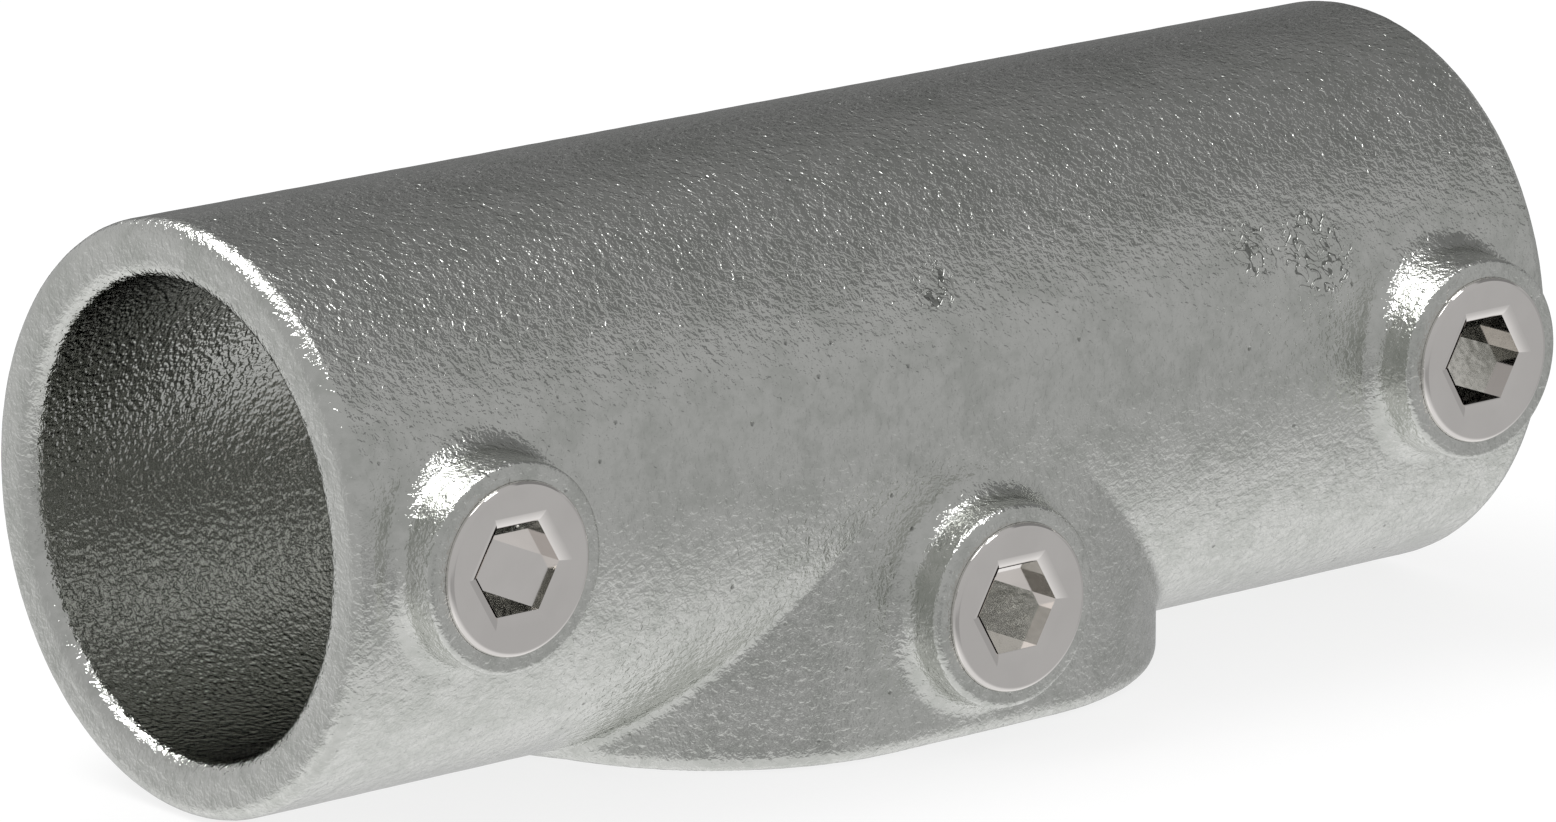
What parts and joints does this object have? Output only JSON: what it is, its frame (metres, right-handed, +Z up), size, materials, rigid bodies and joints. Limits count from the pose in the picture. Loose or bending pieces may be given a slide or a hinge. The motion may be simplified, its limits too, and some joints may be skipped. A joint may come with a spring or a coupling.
{
  "type": "tube clamp tee fitting",
  "caption": "Galvanised iron tee clamp: a long sleeve grips a rail tube, a collar below takes an upright that may lean, held by hex socket set screws in raised bosses.",
  "frame": {"origin": "where the rail's centre line crosses the upright's centre line", "axes": "+X along the rail's bore, -Y towards the set screws, +Z up, away from the collar's mouth"},
  "size_m": [0.1436, 0.0598, 0.0546],
  "materials": {
    "galvanised_iron": "hot-dip galvanised as-cast skin, satin",
    "screw_steel": "plated, satin faces and bright key socket"
  },
  "bodies": {
    "casting": {"clamp_body": "galvanised_iron"},
    "left_screw": {"left_set_screw": "screw_steel"},
    "upright_screw": {"upright_set_screw": "screw_steel"},
    "right_screw": {"right_set_screw": "screw_steel"}
  },
  "joints": [
    {"name": "left_screw_travel", "type": "slide", "parent": "casting", "child": "left_screw", "axis": [0, 1, 0], "range_m": [-0.0045, 0.003]},
    {"name": "upright_screw_travel", "type": "slide", "parent": "casting", "child": "upright_screw", "axis": [0, 1, 0], "range_m": [-0.0045, 0.003]},
    {"name": "right_screw_travel", "type": "slide", "parent": "casting", "child": "right_screw", "axis": [0, 1, 0], "range_m": [-0.0045, 0.003]}
  ]
}
